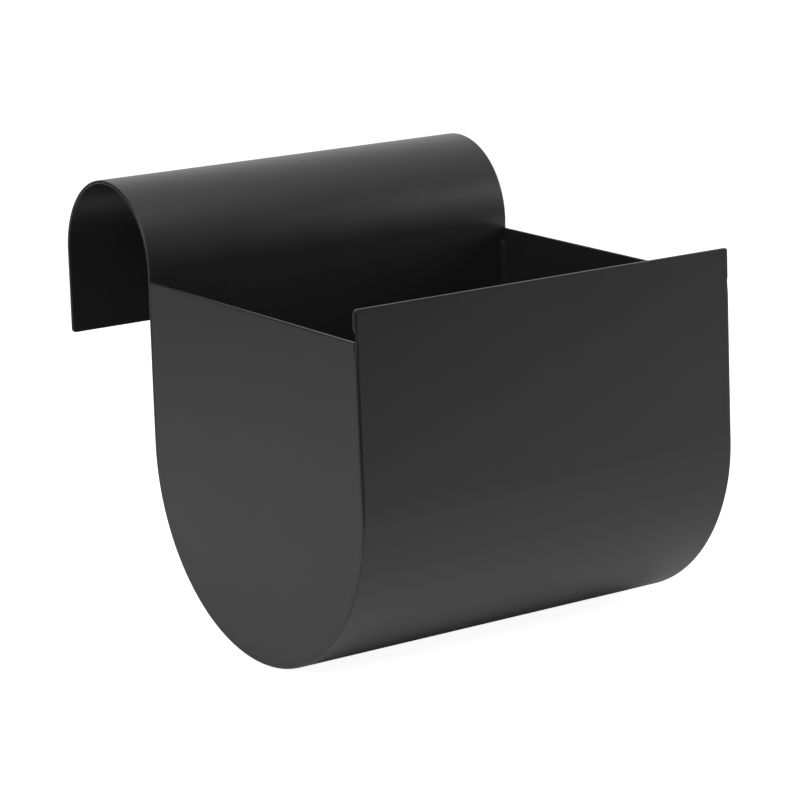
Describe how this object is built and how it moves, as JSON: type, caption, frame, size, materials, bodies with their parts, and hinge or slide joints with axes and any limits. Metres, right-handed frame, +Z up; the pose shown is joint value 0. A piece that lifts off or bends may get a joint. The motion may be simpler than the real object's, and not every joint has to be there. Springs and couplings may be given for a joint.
{
  "type": "balcony rail planter",
  "caption": "Half-round trough planter of bent sheet steel with flat welded end panels, whose back wall runs up into a hook that hangs it over a balcony rail.",
  "frame": {"origin": "on the axis of the hook's half-round inner face, where the rail lies, midway along the rail", "axes": "+X along the rail, +Y from the trough towards the hook's free leg, +Z up"},
  "size_m": [0.236, 0.287, 0.2365],
  "materials": {
    "powder_coated_sheet": "fine matte black powder coat on bent steel sheet",
    "powder_coated_weld": "the same black powder coat over rippled weld bead"
  },
  "bodies": {
    "root": {"wrap_sheet": "powder_coated_sheet", "end_panel_left": "powder_coated_sheet", "end_panel_right": "powder_coated_sheet", "weld_seam_left": "powder_coated_weld", "weld_seam_right": "powder_coated_weld"}
  },
  "joints": []
}
